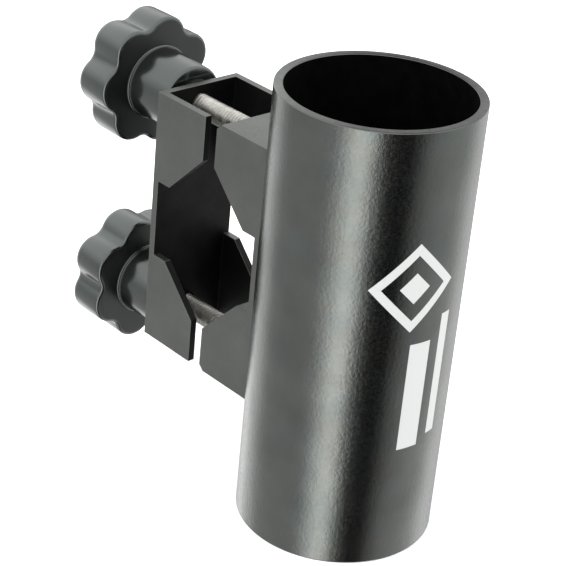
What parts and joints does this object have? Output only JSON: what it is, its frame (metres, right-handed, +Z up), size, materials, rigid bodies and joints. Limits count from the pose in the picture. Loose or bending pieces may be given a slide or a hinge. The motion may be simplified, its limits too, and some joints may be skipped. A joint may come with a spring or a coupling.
{
  "type": "rod holder",
  "caption": "Round tube that holds a fishing rod butt, with a two-jaw clamp beside it that grips a pole, closed by star knobs on threaded bolts.",
  "frame": {"origin": "on the tube axis at the lower end of the tube", "axes": "+Z up along the tube, -X from the tube through the jaws to the knobs, Y along the gripped pole"},
  "size_m": [0.1173, 0.05, 0.115],
  "materials": {
    "anodised_tube": "black anodised, satin",
    "anodised_jaw": "black anodised, fine blasted matt",
    "zinc_steel": "zinc plated",
    "washer_plastic": "black nylon",
    "knob_plastic": "black moulded plastic, semi-gloss"
  },
  "bodies": {
    "holder": {"rod_tube": "anodised_tube", "fixed_jaw": "anodised_jaw", "tube_screws": "zinc_steel"},
    "jaw": {"moving_jaw": "anodised_jaw", "upper_washer": "washer_plastic", "lower_washer": "washer_plastic"},
    "upper_handle": {"upper_knob": "knob_plastic", "upper_bolt": "zinc_steel", "upper_cap": "knob_plastic"},
    "lower_handle": {"lower_knob": "knob_plastic", "lower_bolt": "zinc_steel", "lower_cap": "knob_plastic"}
  },
  "joints": [
    {"name": "clamp_slide", "type": "slide", "parent": "holder", "child": "jaw", "axis": [1, 0, 0], "range_m": [-0.005, 0.004]},
    {"name": "upper_knob_turn", "type": "hinge", "parent": "jaw", "child": "upper_handle", "pos_m": [-0.0641, 0, 0.0886], "axis": [1, 0, 0], "range_deg": [-1800, 1440]},
    {"name": "lower_knob_turn", "type": "hinge", "parent": "jaw", "child": "lower_handle", "pos_m": [-0.0641, 0, 0.0304], "axis": [1, 0, 0], "range_deg": [-1800, 1440]}
  ],
  "couplings": [
    {"joint": "upper_knob_turn", "follows": "clamp_slide", "rad_per_m": 6283.1},
    {"joint": "lower_knob_turn", "follows": "clamp_slide", "rad_per_m": 6283.1}
  ]
}
